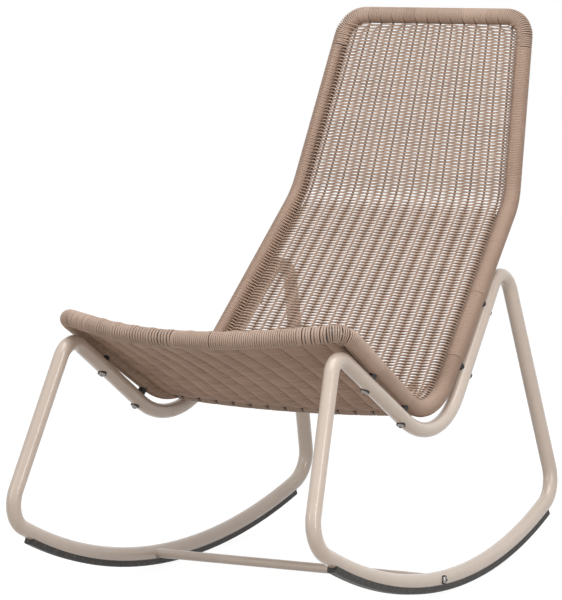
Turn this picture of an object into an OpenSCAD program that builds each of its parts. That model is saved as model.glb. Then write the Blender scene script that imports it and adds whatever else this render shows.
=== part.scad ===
/* [Side loops] */
// Outer diameter of the tube that each side loop is bent from
loop_od = 25.4; // [22:0.2:30]
// Wall thickness of the side loop tube
loop_wall = 1.8; // [1.2:0.1:2.6]
// Angle that each side loop leans out toward the floor
lean_out = 5.6; // [3:0.1:8]
// Angle that each side loop turns in toward the back
toe_in = 2.9; // [1:0.1:4]
// Centreline radius of the rocker arcs
rocker_r = 925.5; // [850:0.5:1000]
// Reach of the loop's front corner ahead of the rocker's lowest point
front_reach = 302; // [288:1:316]
// Height of the loop's front corner above the rocker's lowest point
front_rise = 402.5; // [390:0.5:415]
// Reach of the valley between seat run and back run behind the lowest point
valley_reach = 12; // [0:1:24]
// Height of the valley's corner point above the rocker's lowest point
valley_rise = 205.5; // [195:0.5:216]
// Reach of the loop's rear corner behind the lowest point
rear_reach = 300; // [286:1:314]
// Height of the loop's rear corner above the lowest point
rear_rise = 517.5; // [500:0.5:535]
// Reach of the front leg's line ahead of the lowest point, at the foot height
front_foot = 461; // [441:1:480]
// Reach of the rear leg's line behind the lowest point, at the foot height
rear_foot = 439; // [420:1:458]
// Height at which the two leg lines are measured
foot_rise = 33.5; // [24:0.5:44]
// Centreline bend radius at the loop's front corner
front_bend_r = 33; // [28:1:48]
// Centreline bend radius of the valley
valley_bend_r = 146; // [120:1:150]
// Centreline bend radius at the loop's rear corner
rear_bend_r = 36; // [28:1:48]
// Centreline bend radius where the legs run into the rocker arc
foot_bend_r = 52; // [40:1:70]

/* [Seat frame] */
// Outer diameter of the bare seat frame tube
frame_od = 22.2; // [19:0.2:25]
// Wall thickness of the seat frame tube
frame_wall = 1.2; // [0.8:0.1:2]
// Half width between the rail axes at the front corners
front_half = 277; // [262:1:290]
// How far the rail's front corner lies outside the loop's plane
front_aside = 19; // [12:0.5:24]
// How far the rail's front corner lies behind the loop's front corner
front_behind = 8; // [4:0.5:12]
// How far the rail's front corner lies above the loop's front corner
front_above = 27; // [25:0.5:32]
// How far the corner point of seat and back rail lies inside the loop's plane
bend_aside = 9.5; // [4:0.5:14]
// How far that corner point lies ahead of the loop's valley
bend_ahead = 3; // [0:0.5:6]
// How far that corner point lies above the loop's valley
bend_above = 45.5; // [43:0.5:50]
// How far the back rail's kink lies outside the loop's plane
kink_aside = 8.5; // [4:0.5:14]
// How far the kink lies behind the loop's rear corner
kink_behind = 33; // [30:0.5:38]
// How far the kink lies above the loop's rear corner
kink_above = 87.5; // [82:0.5:94]
// How far the top corners lie outside the loop's plane
top_aside = 9; // [-6:0.5:24]
// How far the top corners lie behind the kink
top_behind = 110.5; // [85:0.5:130]
// How far the top corners lie above the kink
top_above = 315.5; // [275:0.5:360]
// Centreline bend radius at the front corners
corner_r = 30; // [26:1:38]
// Centreline bend radius between the seat rails and the back rails
bend_r = 118; // [105:1:128]
// Centreline bend radius of the kinks in the back
kink_r = 130; // [60:1:200]
// Centreline bend radius at the top corners
top_r = 42; // [30:1:60]
// How far the front bar bows ahead of its corners
front_bow = 60; // [40:1:80]
// How far the middle of the front bar dips under its corners
front_dip = 20; // [8:1:30]
// Straight stretch of the front bar beside each corner point
front_straight = 90; // [88:1:110]
// Outer diameter of the bare crossbar between the rails
crossbar_od = 19; // [16:0.5:22]
// Wall thickness of the crossbar
crossbar_wall = 1.2; // [0.8:0.1:2]
// How far the crossbar sags at its middle
crossbar_dip = 9; // [4:0.5:16]
// Share of the crossbar's half length that its bend takes up
crossbar_bent = 0.98; // [0.9:0.01:0.99]
// Share of the rail bend, from the seat side, where the crossbar is welded
crossbar_share = 0.4; // [0.3:0.05:0.6]

/* [Windings and weave] */
// Diameter of the woven strand
strand_d = 3.6; // [3:0.1:4]
// Turns in each open winding band of the front bar
band_turns = 10; // [6:1:12]
// Step from turn to turn in the open winding bands
band_pitch = 5; // [4.4:0.1:5.4]
// Straight stretch of winding between a front corner's bend and the open band
band_start = 3; // [2:0.5:8]
// Number of warps in the seat and in the back
warps = 14; // [10:2:18]
// Distance of the outermost warps from the weave's edges
warp_edge = 11; // [8:0.5:14]
// Thickness of the weave over a warp
weave_t = 9.2; // [7:0.2:10.4]
// Thickness of the weave between two warps and at its edges
weave_between = 3.6; // [3:0.2:5]
// Distance from the top corner point to the seam below it
top_seam = 58; // [50:1:80]

/* [Fasteners] */
// Thread diameter of all bolts
bolt_d = 6; // [5:0.5:7]
// Diameter of the domed bolt heads
head_d = 12; // [10:0.5:14]
// Height of the domed bolt heads
head_h = 4; // [3:0.2:5.4]
// Hex socket size across corners
socket_d = 4.6; // [3.6:0.2:5.4]
// Depth of the hex socket
socket_h = 2.6; // [1.6:0.2:3]
// Outer diameter of the saddle washers
washer_d = 15; // [14:0.5:17]
// Thickness of the saddle washers over the tube
washer_t = 1.4; // [1:0.1:2.4]
// Outer diameter of the spacers between loop and rail
spacer_d = 14; // [11:0.5:15]
// Outer diameter of the threaded inserts
insert_d = 9; // [8:0.2:10.4]
// Length of the threaded inserts in the rails
insert_l = 12; // [9:0.5:15]
// How far a bolt's tip stays short of its insert's inner end
bolt_short = 2; // [1:0.5:4]
// Distance of the first seat bolt from the rail's front corner point
seat_bolt_front = 127; // [118:1:136]
// Distance of the second seat bolt ahead of the rail's bend
seat_bolt_rear = 8.5; // [8.5:0.5:18]
// Distance of the lower back bolt above the rail's bend
back_bolt_low = 44; // [36:1:54]
// Distance of the upper back bolt above the rail's bend
back_bolt_high = 179; // [155:1:195]

/* [Stretcher and glides] */
// Outer diameter of the stretcher bar
stretcher_od = 16; // [13:0.5:20]
// Wall thickness of the stretcher bar
stretcher_wall = 1.5; // [1:0.1:2.4]
// Place of the stretcher along the rocker arc, in degrees ahead of its lowest point
stretcher_turn = 1.5; // [-1:0.1:3]
// Length of the threaded plugs in the stretcher ends
plug_l = 24; // [16:1:40]
// How far a stretcher bolt's tip stays short of its plug's inner end
plug_short = 6; // [2:0.5:10]
// Thickness of the glide strips below the rocker tubes
glide_t = 8; // [5:0.5:11]
// Width of the glide strips
glide_w = 17; // [12:0.5:22]
// Radius of the glide strips' lower edges
glide_round = 3.4; // [1:0.2:4.6]
// Rocker arc covered ahead of the lowest point, in degrees
glide_ahead = 23; // [15:0.5:24]
// Rocker arc covered behind the lowest point, in degrees
glide_behind = 23.8; // [15:0.2:24]

/* [Rest] */
// How far the chair leans back about the rockers' centre when it stands at rest
rest_lean = 5.5; // [2:0.1:8]

/* [Clearances] */
// Gap between a bolt and its plain holes, on the radius
bolt_gap = 0.25; // [0.1:0.05:0.5]
// Gap between neighbouring windings, and between weave and windings
seam_gap = 0.4; // [0.2:0.05:0.8]
// Gap between a spacer and the windings beside it
spacer_gap = 0.3; // [0.1:0.05:0.8]
// Gap between the wound strand and the bar under it
wind_gap = 0.1; // [0.05:0.05:0.3]

/* [Hidden] */
// Sides of a drawn circle, and how far a drawn arc may stray from the true one
round_sides = 48;
arc_error = 0.04;
$fn = round_sides;
// Length of the collars that join straight and bent lengths, and their rise on the diameter
joint_l = 1;
joint_rise = 0.04;
// How far a cutting tool runs past the face it cuts, in length and in turn
overrun = 1;
// Steps round the quarter circle of a rounded edge
quarter_steps = [0 : 15 : 90];
// Least step between two columns of the weave where a rounded corner pushes them in
column_step = 1.2;

loop_color = [0.77, 0.72, 0.67];
wrap_color = [0.70, 0.60, 0.52];
weave_color = [0.62, 0.53, 0.46];
steel_color = [0.80, 0.80, 0.80];
black_color = [0.10, 0.10, 0.10];

function unit(v) = v / norm(v);
function mix(a, b, t) = a + (b - a) * t;
function flip(p) = [-p.x, p.y, p.z];

// Matrix that lays the local axes along u, v and w with the origin at p
function axes_at(p, u, v, w) =
    [[u.x, v.x, w.x, p.x], [u.y, v.y, w.y, p.y], [u.z, v.z, w.z, p.z], [0, 0, 0, 1]];

// Matrix whose local Z runs from a to b
function along(a, b) =
    let (w = unit(b - a), u = unit(cross(abs(w.z) < 0.9 ? [0, 0, 1] : [1, 0, 0], w)))
    axes_at(a, u, cross(w, u), w);

// Round bend at corner c between a and b: half angle, tangent length, start, end and centre
function half_angle(a, c, b) = acos(unit(a - c) * unit(b - c)) / 2;
function bend_len(a, c, b, r) = r / tan(half_angle(a, c, b));
function bend_start(a, c, b, r) = c + unit(a - c) * bend_len(a, c, b, r);
function bend_centre(a, c, b, r) =
    c + unit(unit(a - c) + unit(b - c)) * r / sin(half_angle(a, c, b));
function bend_point(a, c, b, r, share) =
    let (
        o = bend_centre(a, c, b, r),
        x = unit(bend_start(a, c, b, r) - o),
        turn = share * (180 - 2 * half_angle(a, c, b))
    )
    o + r * (x * cos(turn) + unit(c - a) * sin(turn));

module rod(a, b, d) {
    multmatrix(along(a, b)) cylinder(d = d, h = norm(b - a));
}

// Arc of a round bar about the local Z axis, starting on local X
module arc_bar(r, angle, d) {
    rotate_extrude(angle = angle, $fn = ceil(180 / acos(1 - arc_error / r)))
        translate([r, 0]) circle(d = d, $fn = round_sides);
}

// Hair-thin collar over the joint of two lengths of one bar, which joins them into one solid
module joint(p, way, d) {
    rod(p - way * joint_l / 2, p + way * joint_l / 2, d + joint_rise);
}

module bend(a, c, b, r, d) {
    o = bend_centre(a, c, b, r);
    x = unit(bend_start(a, c, b, r) - o);
    y = unit(c - a);
    multmatrix(axes_at(o, x, y, cross(x, y))) arc_bar(r, 180 - 2 * half_angle(a, c, b), d);
}

module joined_bend(a, c, b, r, d) {
    bend(a, c, b, r, d);
    joint(bend_start(a, c, b, r), unit(c - a), d);
    joint(bend_start(b, c, a, r), unit(b - c), d);
}

// Round bar through points p, with a bend of radius r[i] at each inner point
module bent_rod(p, r, d) {
    last = len(p) - 1;
    for (i = [1 : last]) {
        from = i == 1 ? p[0] : bend_start(p[i], p[i - 1], p[i - 2], r[i - 1]);
        to = i == last ? p[last] : bend_start(p[i - 1], p[i], p[i + 1], r[i]);
        rod(from, to, d);
    }
    for (i = [1 : 1 : last - 1]) joined_bend(p[i - 1], p[i], p[i + 1], r[i], d);
}

// Closed ring of round bar, with a bend of radius r[i] at each point
module bent_ring(p, r, d) {
    count = len(p);
    for (i = [0 : count - 1]) {
        before = p[(i + count - 1) % count];
        next = (i + 1) % count;
        after = p[(i + 2) % count];
        rod(bend_start(p[next], p[i], before, r[i]), bend_start(p[i], p[next], after, r[next]), d);
        joined_bend(before, p[i], p[next], r[i], d);
    }
}

// The chair stands on its rockers' lowest edges, leaning back by rest_lean
loop_out = unit([1, tan(toe_in), tan(lean_out)]);
loop_back = unit([-tan(toe_in), 1, 0]);
loop_up = cross(loop_out, loop_back);
rocker_low = rocker_r + loop_od / 2 + glide_t;
glide_flat = glide_w / 2 - glide_round;
function leaned(v) = [v.x, v * [0, cos(rest_lean), sin(rest_lean)], v * [0, -sin(rest_lean), cos(rest_lean)]];
// Depth of the glide's lowest point under the rocker's centre
function depth_under_centre(up, out) =
    (rocker_low - glide_round) * norm([1, 0] * up.z + [0, 1] * leaned(loop_back).z)
    + glide_flat * abs(out.z) + glide_round;
centre_z = depth_under_centre(leaned(loop_up), leaned(loop_out));

// Rail corners in the loop's plane: reach behind its lowest point, rise and way out of the plane
front_corner = [front_behind - front_reach, front_rise + front_above, front_aside];
bend_corner = [valley_reach - bend_ahead, valley_rise + bend_above, -bend_aside];
kink_corner = [rear_reach + kink_behind, rear_rise + kink_above, kink_aside];
top_corner = [kink_corner.x + top_behind, kink_corner.y + top_above, top_aside];
loop_axes = [for (i = [0 : 2]) [loop_back[i], loop_up[i], loop_out[i]]];

// Loop plane: x runs to the back and y up, from the rocker's lowest centreline point
loop_origin = [front_half - loop_axes[0] * front_corner, -loop_up.y * rocker_r,
    centre_z - loop_up.z * rocker_r];
function on_loop(p) = loop_origin + loop_back * p.x + loop_up * p.y;

rocker_centre = [0, rocker_r];
loop_front = [-front_reach, front_rise];
loop_valley = [valley_reach, valley_rise];
loop_rear = [rear_reach, rear_rise];

// Centre of the foot bend: it touches the leg's line and the rocker arc from inside
function foot_centre(top, foot, inward) =
    let (
        u = unit(foot - top),
        m = inward * [u.y, -u.x],
        w = top + m * foot_bend_r - rocker_centre,
        b = w * u
    )
    top + m * foot_bend_r + u * (-b + sqrt(b * b - w * w + pow(rocker_r - foot_bend_r, 2)));

front_foot_point = [-front_foot, foot_rise];
rear_foot_point = [rear_foot, foot_rise];
front_foot_centre = foot_centre(loop_front, front_foot_point, -1);
rear_foot_centre = foot_centre(loop_rear, rear_foot_point, 1);
front_leg_dir = unit(front_foot_point - loop_front);
rear_leg_dir = unit(rear_foot_point - loop_rear);

// Angle of a direction in the loop plane, measured from straight down toward the back
function from_down(v) = atan2(v.x, -v.y);
front_foot_turn = from_down(front_foot_centre - rocker_centre);
rear_foot_turn = from_down(rear_foot_centre - rocker_centre);
front_leg_turn = from_down([front_leg_dir.y, -front_leg_dir.x]);
rear_leg_turn = from_down([-rear_leg_dir.y, rear_leg_dir.x]);
front_leg_end = front_foot_centre + foot_bend_r * [front_leg_dir.y, -front_leg_dir.x];
rear_leg_end = rear_foot_centre + foot_bend_r * [-rear_leg_dir.y, rear_leg_dir.x];

// Arc in the loop plane about o, between two angles measured from straight down
module plane_arc(o, r, from, to, d) {
    multmatrix(axes_at(on_loop(o), loop_back, loop_up, loop_out))
        rotate([0, 0, from - 90]) arc_bar(r, to - from, d);
}

module foot_arc(o, from, to, d) {
    plane_arc(o, foot_bend_r, from, to, d);
    for (t = [from, to])
        joint(on_loop(o + foot_bend_r * [sin(t), -cos(t)]), loop_back * cos(t) + loop_up * sin(t), d);
}

module loop_bar(d) {
    bent_rod(
        [on_loop(front_leg_end), on_loop(loop_front), on_loop(loop_valley), on_loop(loop_rear),
         on_loop(rear_leg_end)],
        [0, front_bend_r, valley_bend_r, rear_bend_r, 0], d);
    foot_arc(front_foot_centre, front_leg_turn, front_foot_turn, d);
    plane_arc(rocker_centre, rocker_r, front_foot_turn, rear_foot_turn, d);
    foot_arc(rear_foot_centre, rear_foot_turn, rear_leg_turn, d);
}

// Rail corners of the right side: front, bend, kink and top
rail_front = loop_origin + loop_axes * front_corner;
rail_bend = loop_origin + loop_axes * bend_corner;
rail_kink = loop_origin + loop_axes * kink_corner;
rail_top = loop_origin + loop_axes * top_corner;

// Front bar: straight beside each corner, then one arc that bows ahead and down
front_sag = norm([front_bow, front_dip]);
front_turn = 2 * atan(front_sag / (front_half + front_straight));
front_arc_half = front_half - front_straight * cos(front_turn);
front_arc_r = front_arc_half / sin(front_turn);
front_dir = [0, -front_bow, -front_dip] / front_sag;
front_tip = [0, rail_front.y, rail_front.z] + front_dir * front_half * tan(front_turn);
function front_depth(x) =
    abs(x) > front_arc_half
        ? (front_half - abs(x)) * tan(front_turn)
        : front_sag - front_arc_r + sqrt(front_arc_r * front_arc_r - x * x);
function front_slope(x) = -tan(abs(x) > front_arc_half ? sign(x) * front_turn : asin(x / front_arc_r));

module frame_bar(d) {
    bent_ring(
        [rail_top, rail_kink, rail_bend, rail_front, front_tip,
         flip(rail_front), flip(rail_bend), flip(rail_kink), flip(rail_top)],
        [top_r, kink_r, bend_r, corner_r, front_arc_r, corner_r, bend_r, kink_r, top_r], d);
}

// Crossbar: welded into the rails' bends, with a slight sag
crossbar_end = bend_point(rail_front, rail_bend, rail_kink, bend_r, crossbar_share);
crossbar_turn = atan(2 * crossbar_dip / crossbar_end.x);
crossbar_tip = [0, crossbar_end.y, crossbar_end.z - 2 * crossbar_dip];
crossbar_r = crossbar_bent * crossbar_end.x / sin(crossbar_turn);

module crossbar_bar(d) {
    bent_rod([crossbar_end, crossbar_tip, flip(crossbar_end)], [0, crossbar_r, 0], d);
}

wrap_od = frame_od + 2 * strand_d;
crossbar_wrap_od = crossbar_od + 2 * strand_d;

// Bolts of the right side: each starts on the loop's axis and ends on the rail's axis
seat_rail = unit(rail_bend - rail_front);
back_rail = unit(rail_kink - rail_bend);
seat_run = unit(on_loop(loop_valley) - on_loop(loop_front));
back_run = unit(on_loop(loop_rear) - on_loop(loop_valley));
function foot_on(p, a, run) = a + run * ((p - a) * run);
seat_bolt_ends = [
    rail_front + seat_rail * seat_bolt_front,
    bend_start(rail_front, rail_bend, rail_kink, bend_r) - seat_rail * seat_bolt_rear
];
back_bolt_ends = [for (s = [back_bolt_low, back_bolt_high])
    bend_start(rail_kink, rail_bend, rail_front, bend_r) + back_rail * s];
seat_bolt_starts = [for (p = seat_bolt_ends) foot_on(p, on_loop(loop_valley), seat_run)];
back_bolt_starts = [for (p = back_bolt_ends) foot_on(p, on_loop(loop_valley), back_run)];
all_bolt_starts = concat(seat_bolt_starts, back_bolt_starts);
all_bolt_ends = concat(seat_bolt_ends, back_bolt_ends);

// Stretcher bolts run through the rocker tubes along X
stretcher_point = rocker_centre + rocker_r * [-sin(stretcher_turn), -cos(stretcher_turn)];
stretcher_end = on_loop(stretcher_point);
stretcher_run = unit(on_loop(stretcher_point + [cos(stretcher_turn), -sin(stretcher_turn)])
    - stretcher_end);
stretcher_inner = stretcher_end - [loop_od / 2 + plug_l, 0, 0];

// Places the finished chair: leaning back at rest, with the origin under its box centre
front_leg_reach = leaned(on_loop(front_foot_centre) - [0, 0, centre_z]).y
    - foot_bend_r * norm([leaned(loop_back).y, leaned(loop_up).y]) - loop_od / 2;
top_bar_reach = leaned(rail_top - [0, 0, centre_z]).y + wrap_od / 2;
rear_leg_reach = leaned(on_loop(rear_foot_centre) - [0, 0, centre_z]).y
    + foot_bend_r * norm([leaned(loop_back).y, leaned(loop_up).y]) + loop_od / 2;
middle_y = (front_leg_reach + max(top_bar_reach, rear_leg_reach)) / 2;

module at_rest() {
    translate([0, -middle_y, centre_z]) rotate([-rest_lean, 0, 0]) translate([0, 0, -centre_z])
        children();
}

module both_sides() {
    children();
    mirror([1, 0, 0]) children();
}

module side_loop() {
    color(loop_color) difference() {
        loop_bar(loop_od);
        loop_bar(loop_od - 2 * loop_wall);
        for (i = [0 : len(all_bolt_starts) - 1])
            rod(all_bolt_starts[i] - bolt_way(i) * loop_od, all_bolt_starts[i] + bolt_way(i) * loop_od,
                bolt_d + 2 * bolt_gap);
        rod(stretcher_end - [loop_od, 0, 0], stretcher_end + [loop_od, 0, 0], bolt_d + 2 * bolt_gap);
    }
}
function bolt_way(i) = unit(all_bolt_ends[i] - all_bolt_starts[i]);

module seat_frame() {
    color(wrap_color) difference() {
        frame_bar(frame_od);
        frame_bar(frame_od - 2 * frame_wall);
        both_sides() for (i = [0 : len(all_bolt_ends) - 1])
            rod(all_bolt_ends[i] - bolt_way(i) * frame_od, all_bolt_ends[i], insert_d);
    }
}

module crossbar() {
    color(wrap_color) difference() {
        crossbar_bar(crossbar_od);
        crossbar_bar(crossbar_od - 2 * crossbar_wall);
        both_sides() bend(rail_front, rail_bend, rail_kink, bend_r, frame_od);
    }
}

// Bolt with a domed head: its head lies under z = 0 and its shank runs to z = l
module bolt(l) {
    dome_r = (head_d * head_d / 4 + head_h * head_h) / (2 * head_h);
    difference() {
        union() {
            cylinder(d = bolt_d, h = l);
            intersection() {
                translate([0, 0, dome_r - head_h]) sphere(r = dome_r);
                translate([0, 0, -head_h]) cylinder(d = head_d, h = head_h);
            }
        }
        translate([0, 0, -head_h - overrun]) cylinder(d = socket_d, h = socket_h + overrun, $fn = 6);
    }
}

module rail_bolts(starts, ends) {
    color(steel_color) both_sides() for (i = [0 : 1]) {
        way = unit(ends[i] - starts[i]);
        head = starts[i] - way * (loop_od / 2 + washer_t);
        tip = ends[i] - way * (frame_od / 2 - insert_l + bolt_short);
        multmatrix(along(head, tip)) bolt(norm(tip - head));
    }
}

module rail_washers(starts, ends, run) {
    color(black_color) both_sides() for (i = [0 : 1]) {
        way = unit(ends[i] - starts[i]);
        difference() {
            rod(starts[i] - way * (loop_od / 2 + washer_t), starts[i] - way * loop_od / 4, washer_d);
            rod(starts[i] - run * washer_d, starts[i] + run * washer_d, loop_od);
            rod(starts[i] - way * loop_od, starts[i], bolt_d + 2 * bolt_gap);
        }
    }
}

module rail_spacers(starts, ends, run, rail) {
    color(black_color) both_sides() for (i = [0 : 1]) {
        difference() {
            rod(starts[i], ends[i], spacer_d);
            rod(starts[i] - run * spacer_d, starts[i] + run * spacer_d, loop_od);
            rod(ends[i] - rail * spacer_d, ends[i] + rail * spacer_d, frame_od);
            rod(starts[i], ends[i], bolt_d + 2 * bolt_gap);
        }
    }
}

module rail_inserts(starts, ends, rail) {
    color(steel_color) both_sides() for (i = [0 : 1]) {
        way = unit(ends[i] - starts[i]);
        seat = ends[i] - way * frame_od / 2;
        difference() {
            intersection() {
                rod(seat - way * overrun, seat + way * insert_l, insert_d);
                rod(ends[i] - rail * insert_d, ends[i] + rail * insert_d, frame_od);
            }
            rod(seat - way * 2 * overrun, ends[i] + way * frame_od, bolt_d);
        }
    }
}

module seat_bolts() { rail_bolts(seat_bolt_starts, seat_bolt_ends); }
module seat_washers() { rail_washers(seat_bolt_starts, seat_bolt_ends, seat_run); }
module seat_spacers() { rail_spacers(seat_bolt_starts, seat_bolt_ends, seat_run, seat_rail); }
module seat_inserts() { rail_inserts(seat_bolt_starts, seat_bolt_ends, seat_rail); }
module back_bolts() { rail_bolts(back_bolt_starts, back_bolt_ends); }
module back_washers() { rail_washers(back_bolt_starts, back_bolt_ends, back_run); }
module back_spacers() { rail_spacers(back_bolt_starts, back_bolt_ends, back_run, back_rail); }
module back_inserts() { rail_inserts(back_bolt_starts, back_bolt_ends, back_rail); }

module stretcher() {
    color(loop_color) difference() {
        rod(flip(stretcher_end), stretcher_end, stretcher_od);
        rod(flip(stretcher_end), stretcher_end, stretcher_od - 2 * stretcher_wall);
        both_sides() rod(stretcher_end - stretcher_run * stretcher_od,
            stretcher_end + stretcher_run * stretcher_od, loop_od);
    }
}

module stretcher_plugs() {
    color(steel_color) both_sides() difference() {
        rod(stretcher_inner, stretcher_end, stretcher_od - 2 * stretcher_wall);
        rod(stretcher_end - stretcher_run * stretcher_od,
            stretcher_end + stretcher_run * stretcher_od, loop_od);
        rod(stretcher_inner - [overrun, 0, 0], stretcher_end, bolt_d);
    }
}

module stretcher_bolts() {
    head = stretcher_end + [loop_od / 2 + washer_t, 0, 0];
    tip = stretcher_inner + [plug_short, 0, 0];
    color(steel_color) both_sides() multmatrix(along(head, tip)) bolt(norm(tip - head));
}

module stretcher_washers() {
    color(black_color) both_sides() difference() {
        rod(stretcher_end + [loop_od / 4, 0, 0], stretcher_end + [loop_od / 2 + washer_t, 0, 0], washer_d);
        rod(stretcher_end - stretcher_run * washer_d, stretcher_end + stretcher_run * washer_d, loop_od);
        rod(stretcher_end, stretcher_end + [loop_od, 0, 0], bolt_d + 2 * bolt_gap);
    }
}

// Path p with its first and last straight drawn out by the bar's diameter
function drawn_out(p, d) = [for (i = [0 : len(p) - 1])
    i == 0 ? p[0] + unit(p[0] - p[1]) * d
        : i == len(p) - 1 ? p[i] + unit(p[i] - p[i - 1]) * d : p[i]];

// Sleeve of windings round the frame tube along path p
module sleeve(p, r) {
    color(wrap_color) difference() {
        bent_rod(p, r, wrap_od);
        bent_rod(drawn_out(p, frame_od), r, frame_od);
    }
}

// Sleeve between two seams, notched for the spacers
module wrap(p, r) {
    difference() {
        sleeve(p, r);
        for (i = [0 : len(all_bolt_ends) - 1])
            rod(all_bolt_starts[i], all_bolt_ends[i], spacer_d + 2 * spacer_gap);
    }
}

half_seam = seam_gap / 2;
band_dir = unit(front_tip - rail_front);
band_len = band_turns * band_pitch + strand_d;
band_from = bend_start(front_tip, rail_front, rail_bend, corner_r) + band_dir * band_start;
band_to = band_from + band_dir * band_len;

module wrap_front() {
    start = band_to + band_dir * seam_gap;
    sleeve([start, front_tip, flip(start)], [0, front_arc_r, 0]);
}
module wrap_corner() {
    wrap([band_from - band_dir * seam_gap, rail_front, seat_bolt_ends[0] - seat_rail * half_seam],
        [0, corner_r, 0]);
}
module wrap_seat_rail() {
    wrap([seat_bolt_ends[0] + seat_rail * half_seam, seat_bolt_ends[1] - seat_rail * half_seam], []);
}
module wrap_bend() {
    difference() {
        wrap([seat_bolt_ends[1] + seat_rail * half_seam, rail_bend,
            back_bolt_ends[0] - back_rail * half_seam], [0, bend_r, 0]);
        rod(crossbar_end, crossbar_end + unit(crossbar_tip - crossbar_end) * wrap_od,
            crossbar_wrap_od + 2 * seam_gap);
    }
}
module wrap_back_low() {
    wrap([back_bolt_ends[0] + back_rail * half_seam, back_bolt_ends[1] - back_rail * half_seam], []);
}
upper_rail = unit(rail_top - rail_kink);
module wrap_back_high() {
    wrap([back_bolt_ends[1] + back_rail * half_seam, rail_kink,
        rail_top - upper_rail * (top_seam + half_seam)], [0, kink_r, 0]);
}
module wrap_top() {
    seam = rail_top - upper_rail * (top_seam - half_seam);
    sleeve([seam, rail_top, flip(rail_top), flip(seam)], [0, top_r, top_r, 0]);
}
module wrap_crossbar() {
    color(wrap_color) difference() {
        crossbar_bar(crossbar_wrap_od);
        crossbar_bar(crossbar_od);
        both_sides() bend(rail_front, rail_bend, rail_kink, bend_r, wrap_od + 2 * seam_gap);
    }
}

// Open winding band: one unbroken strand wound round the straight end of the front bar
wind_r = frame_od / 2 + wind_gap + strand_d / 2;
band_steps = 24 * band_turns;
band_matrix = along(band_from + band_dir * strand_d / 2, band_to);
function to_frame(m, p) = [for (i = [0 : 2]) m[i] * [p.x, p.y, p.z, 1]];
function band_point(i) =
    let (turn = 360 * i / 24) [wind_r * cos(turn), wind_r * sin(turn), band_pitch * i / 24];
band_lead = [0, -strand_d, 0];
band_tail = [0, strand_d, 0];
band_route = concat(
    [band_point(0) + band_lead],
    [for (i = [0 : band_steps]) band_point(i)],
    [band_point(band_steps) + band_tail]);
band_own_gap = min([for (i = [0 : 23]) norm(band_point(i + 24) - band_point(i))]) - strand_d;
echo(least_gap_between_turns = band_own_gap);

// Round tube of six sides along a route, with its rings square to the route
module strand_tube(route, d) {
    sides = 6;
    last = len(route) - 1;
    points = [for (i = [0 : last])
        let (
            t = unit(route[min(i + 1, last)] - route[max(i - 1, 0)]),
            u = unit(cross(t, [0, 0, 1])),
            v = cross(t, u)
        )
        for (k = [0 : sides - 1]) route[i] + d / 2 * (u * cos(60 * k) + v * sin(60 * k))];
    walls = [for (i = [0 : last - 1], k = [0 : sides - 1])
        let (a = i * sides + k, b = i * sides + (k + 1) % sides)
        for (f = [[a, a + sides, b], [b, a + sides, b + sides]]) f];
    caps = [for (k = [1 : sides - 2])
        for (f = [[0, k, k + 1], [last * sides, last * sides + k + 1, last * sides + k]]) f];
    polyhedron(points, concat(walls, caps));
}

module band_front() {
    color(wrap_color) multmatrix(band_matrix) strand_tube(band_route, strand_d);
}

// Woven sheet through rows of middle points, with its half thickness given column by column
module sheet(rows, half_t) {
    last = len(rows) - 1;
    side = len(rows[0]) - 1;
    count = (last + 1) * (side + 1);
    normals = [for (i = [0 : last], j = [0 : side])
        unit(cross(rows[i][min(j + 1, side)] - rows[i][max(j - 1, 0)],
            rows[min(i + 1, last)][j] - rows[max(i - 1, 0)][j]))];
    middle = [for (i = [0 : last], j = [0 : side]) rows[i][j]];
    points = concat(
        [for (k = [0 : count - 1]) middle[k] + normals[k] * half_t[k % (side + 1)]],
        [for (k = [0 : count - 1]) middle[k] - normals[k] * half_t[k % (side + 1)]]);
    faces = [for (i = [0 : last - 1], j = [0 : side - 1])
        let (a = i * (side + 1) + j, b = a + 1, c = a + side + 1, d = c + 1)
        for (f = [[a, c, b], [b, c, d], [a + count, b + count, c + count],
            [b + count, d + count, c + count]]) f];
    row_edges = [for (j = [0 : side - 1])
        let (a = j, b = last * (side + 1) + j)
        for (f = [[a, a + 1, a + count], [a + 1, a + 1 + count, a + count],
            [b, b + count, b + 1], [b + 1, b + count, b + 1 + count]]) f];
    column_edges = [for (i = [0 : last - 1])
        let (a = i * (side + 1), b = a + side + 1, c = a + side, d = b + side)
        for (f = [[a, a + count, b], [b, a + count, b + count],
            [c, d, c + count], [d, d + count, c + count]]) f];
    polyhedron(points, concat(faces, row_edges, column_edges));
}

// Reach of a rounded corner of radius r into a sheet, at distance s from its end
function corner_cut(s, r) = s < r ? r - sqrt(r * r - (r - s) * (r - s)) : 0;

weave_inset = wrap_od / 2 + seam_gap;
crossbar_inset = crossbar_wrap_od / 2 + seam_gap;

// Columns of the weave: its edges, its warps and the middles between them. A rounded corner that
// cuts into the row pushes the outer columns in.
function from_edge(k) = min(k, 2 * warps - k);
function columns(half, cut = 0) = [for (k = [0 : 2 * warps])
    let (
        n = from_edge(k),
        x = n == 0 ? half : (half - warp_edge) * (warps - n) / (warps - 1)
    )
    (k < warps ? -1 : 1) * min(x, half - cut - n * column_step)];
weave_half_t = [for (k = [0 : 2 * warps]) (from_edge(k) % 2 == 1 ? weave_t : weave_between) / 2];

// Steps of the sheet's rows: through the bend, along a straight, and in front of a rounded corner
bend_steps = [for (i = [3 : -1 : 0]) i / 4];
straight_steps = [for (i = [1 : 4]) i / 5];
corner_steps = [0.6, 0.3, 0.12, 0.04, 0];

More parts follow.
